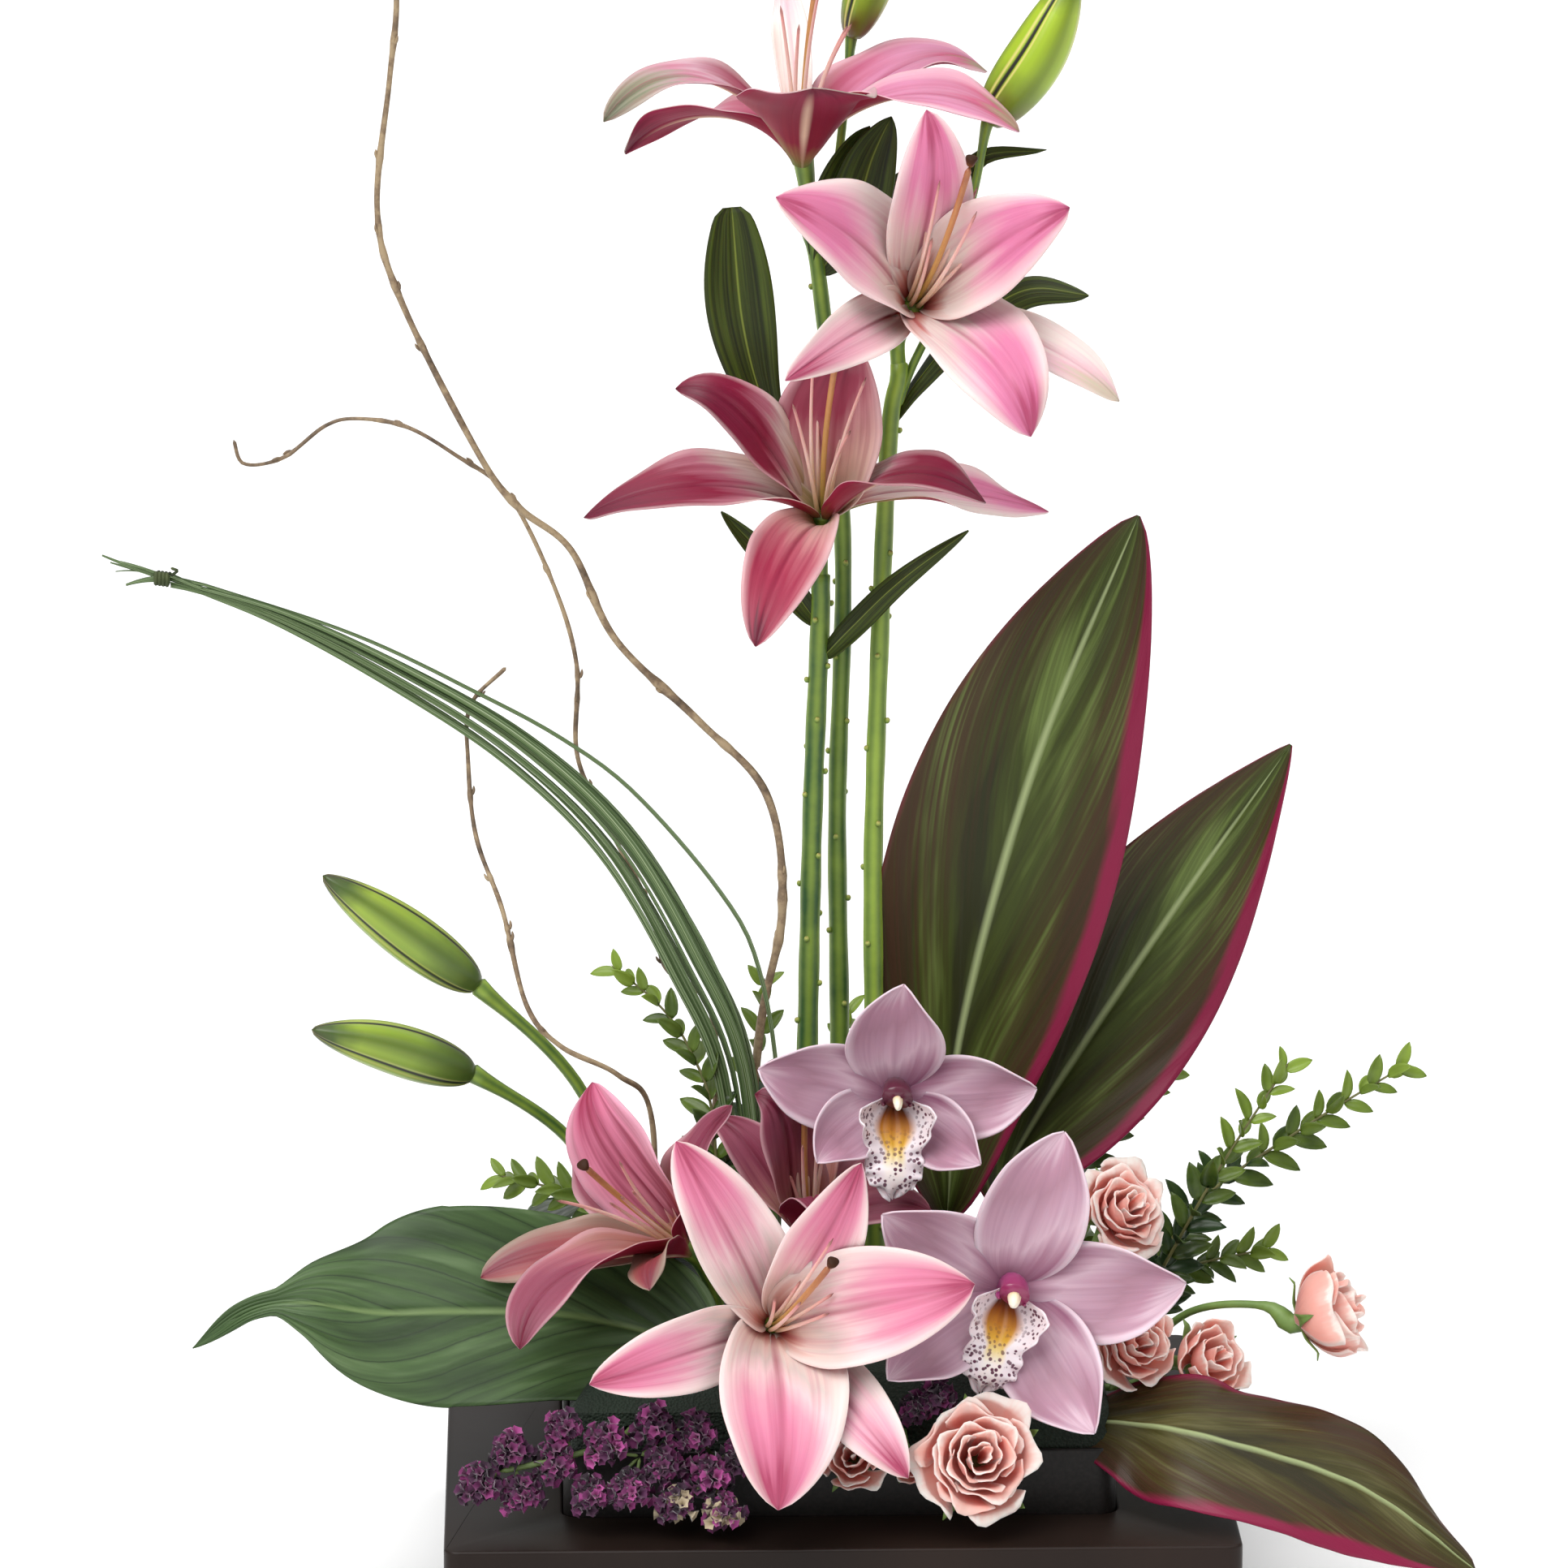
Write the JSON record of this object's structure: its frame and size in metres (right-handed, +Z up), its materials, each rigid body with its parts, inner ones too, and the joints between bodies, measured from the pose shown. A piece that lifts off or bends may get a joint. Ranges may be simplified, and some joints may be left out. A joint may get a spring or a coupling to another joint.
{
  "type": "floral arrangement in a square planter",
  "caption": "Table arrangement of lilies, orchids, spray roses, broad leaves, grass and curly willow, planted in wet foam in a dish set into a low square block.",
  "frame": {"origin": "centre of the planter's flat underside", "axes": "+Z up along the flower stems, -Y towards the viewer, +X to the viewer's right"},
  "size_m": [0.5199, 0.3733, 0.7142],
  "materials": {
    "lacquer": "dark brown gloss lacquer on a wooden block",
    "dish_plastic": "dark satin plastic",
    "wet_foam": "matt green water-soaked floral foam",
    "lily_petal": "soft satin petal, cream at the throat to rose at the tip",
    "lily_bud": "smooth yellow-green bud",
    "lily_leaf": "satin green leaf",
    "lily_stem": "satin green stem",
    "orchid_petal": "waxy mauve petal",
    "rose_petal": "soft peach-pink petal",
    "statice_floret": "papery magenta-purple floret",
    "myrtle_leaf": "glossy small green leaf",
    "ti_leaf": "satin olive leaf with a magenta edge",
    "broad_leaf": "satin dark green ribbed leaf",
    "bear_grass": "grey-green blade",
    "raffia": "matt dry fibre",
    "willow_bark": "smooth tan bark"
  },
  "bodies": {
    "root": {"bear_grass_bundle": "bear_grass", "bear_grass_outer": "bear_grass", "broad_leaf_back": "broad_leaf", "broad_leaf_back_low": "broad_leaf", "broad_leaf_left": "broad_leaf", "floral_foam": "wet_foam", "foam_dish": "dish_plastic", "grass_tie": "raffia", "lily_bloom_back": "lily_petal", "lily_bloom_front": "lily_petal", "lily_bloom_left": "lily_petal", "lily_bloom_lower": "lily_petal", "lily_bloom_top": "lily_petal", "lily_bloom_upper": "lily_petal", "lily_bud_low_lower": "lily_bud", "lily_bud_low_upper": "lily_bud", "lily_bud_top_centre": "lily_bud", "lily_bud_top_right": "lily_bud", "lily_leaf_blunt": "lily_leaf", "lily_leaf_fork": "lily_leaf", "lily_leaf_left_upper": "lily_leaf", "lily_leaf_long": "lily_leaf", "lily_leaf_right_upper": "lily_leaf", "lily_stem_left": "lily_stem", "lily_stem_middle": "lily_stem", "lily_stem_right": "lily_stem", "myrtle_back_left": "myrtle_leaf", "myrtle_back_low_left": "myrtle_leaf", "myrtle_back_low_right": "myrtle_leaf", "myrtle_back_middle": "myrtle_leaf", "myrtle_back_right": "myrtle_leaf", "myrtle_left_small": "myrtle_leaf", "myrtle_left_tall": "myrtle_leaf", "myrtle_right_long": "myrtle_leaf", "myrtle_right_low": "myrtle_leaf", "myrtle_right_tall": "myrtle_leaf", "orchid_lower": "orchid_petal", "orchid_upper": "orchid_petal", "planter_base": "lacquer", "rose_front": "rose_petal", "rose_front_small": "rose_petal", "rose_front_tiny": "rose_petal", "rose_right_low": "rose_petal", "rose_right_mid": "rose_petal", "rose_right_upper": "rose_petal", "rose_side": "rose_petal", "statice_far": "statice_floret", "statice_middle": "statice_floret", "statice_near": "statice_floret", "statice_right": "statice_floret", "ti_leaf_back": "ti_leaf", "ti_leaf_low": "ti_leaf", "ti_leaf_mid": "ti_leaf", "ti_leaf_tall": "ti_leaf", "willow_curl": "willow_bark", "willow_main": "willow_bark", "willow_short": "willow_bark"}
  },
  "joints": []
}
